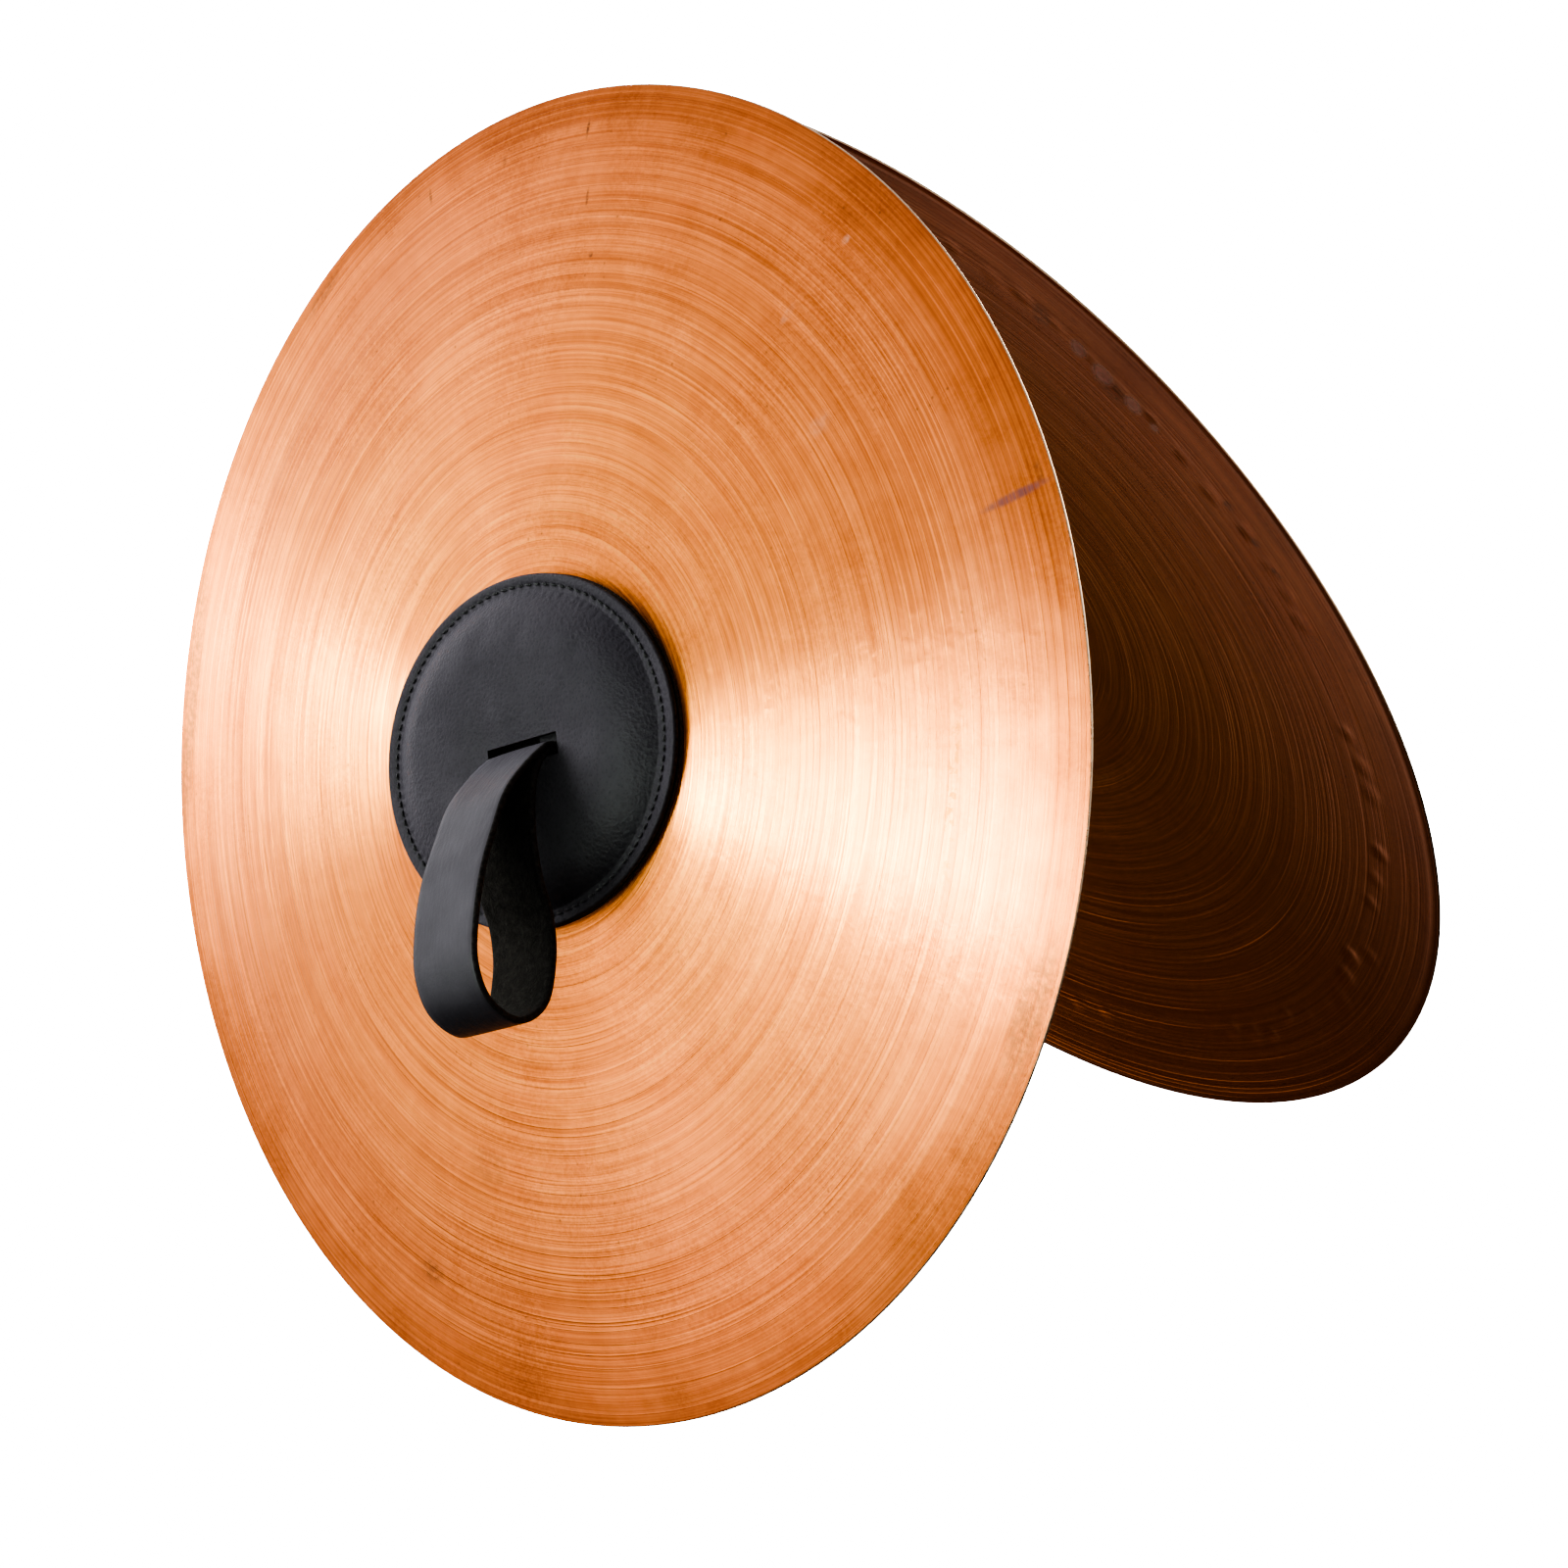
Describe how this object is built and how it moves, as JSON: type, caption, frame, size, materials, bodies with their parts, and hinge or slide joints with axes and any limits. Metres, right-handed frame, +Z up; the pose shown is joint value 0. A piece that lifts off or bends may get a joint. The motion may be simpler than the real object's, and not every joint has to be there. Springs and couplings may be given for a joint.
{
  "type": "hand cymbals",
  "caption": "Pair of thin lathed bronze hand cymbals with sewn leather hand pads and folded leather strap loops, knotted inside the bells, touching near the top of their rims and open below.",
  "frame": {"origin": "root of the front strap, on the pad, where the player's fingers grip it", "axes": "+Z up; +X along the line of the two touching rims, to the right seen from the front pad; +Y from the front cymbal to the rear one"},
  "size_m": [0.38, 0.3068, 0.3584],
  "materials": {
    "bronze": "lathed bronze with fine concentric tone grooves, satin, a little tarnished towards the rim and dark inside",
    "pad_leather": "smooth blue-black grained leather, soft sheen",
    "strap_leather": "black strap leather, smooth grain outside and rough flesh side inside",
    "felt": "wool felt stuffing",
    "thread": "waxed black thread"
  },
  "bodies": {
    "front_disc": {"front_cymbal": "bronze"},
    "front_grip": {"front_pad_cover": "pad_leather", "front_pad_filling": "felt", "front_pad_base": "pad_leather", "front_seam_thread": "thread", "front_strap_neck": "strap_leather", "front_knot_thong_1": "strap_leather", "front_knot_thong_2": "strap_leather", "front_knot_thong_3": "strap_leather", "front_knot_thong_4": "strap_leather"},
    "front_strap": {"front_strap_loop": "strap_leather"},
    "rear_disc": {"rear_cymbal": "bronze"},
    "rear_grip": {"rear_pad_cover": "pad_leather", "rear_pad_filling": "felt", "rear_pad_base": "pad_leather", "rear_seam_thread": "thread", "rear_strap_neck": "strap_leather", "rear_knot_thong_1": "strap_leather", "rear_knot_thong_2": "strap_leather", "rear_knot_thong_3": "strap_leather", "rear_knot_thong_4": "strap_leather"},
    "rear_strap": {"rear_strap_loop": "strap_leather"}
  },
  "joints": [
    {"name": "pair_clap", "type": "hinge", "parent": "front_disc", "child": "rear_disc", "pos_m": [-0.00363, 0.09544, 0.16314], "axis": [1, 0, 0], "range_deg": [-40.5, 60]},
    {"name": "front_grip_turn", "type": "hinge", "parent": "front_disc", "child": "front_grip", "pos_m": [-0.00363, 0.02978, -0.01288], "axis": [0, -0.9373, 0.3486], "continuous": true},
    {"name": "rear_grip_turn", "type": "hinge", "parent": "rear_disc", "child": "rear_grip", "pos_m": [-0.00363, 0.16187, -0.01494], "axis": [0, 0.9373, 0.3486], "continuous": true},
    {"name": "front_strap_swing", "type": "hinge", "parent": "front_grip", "child": "front_strap", "pos_m": [0, 0, 0], "axis": [-0.9063, -0.1473, -0.3961], "range_deg": [0, 90]},
    {"name": "rear_strap_swing", "type": "hinge", "parent": "rear_grip", "child": "rear_strap", "pos_m": [-0.00759, 0.19204, -0.00312], "axis": [0.9903, 0.0485, -0.1304], "range_deg": [0, 90]}
  ]
}
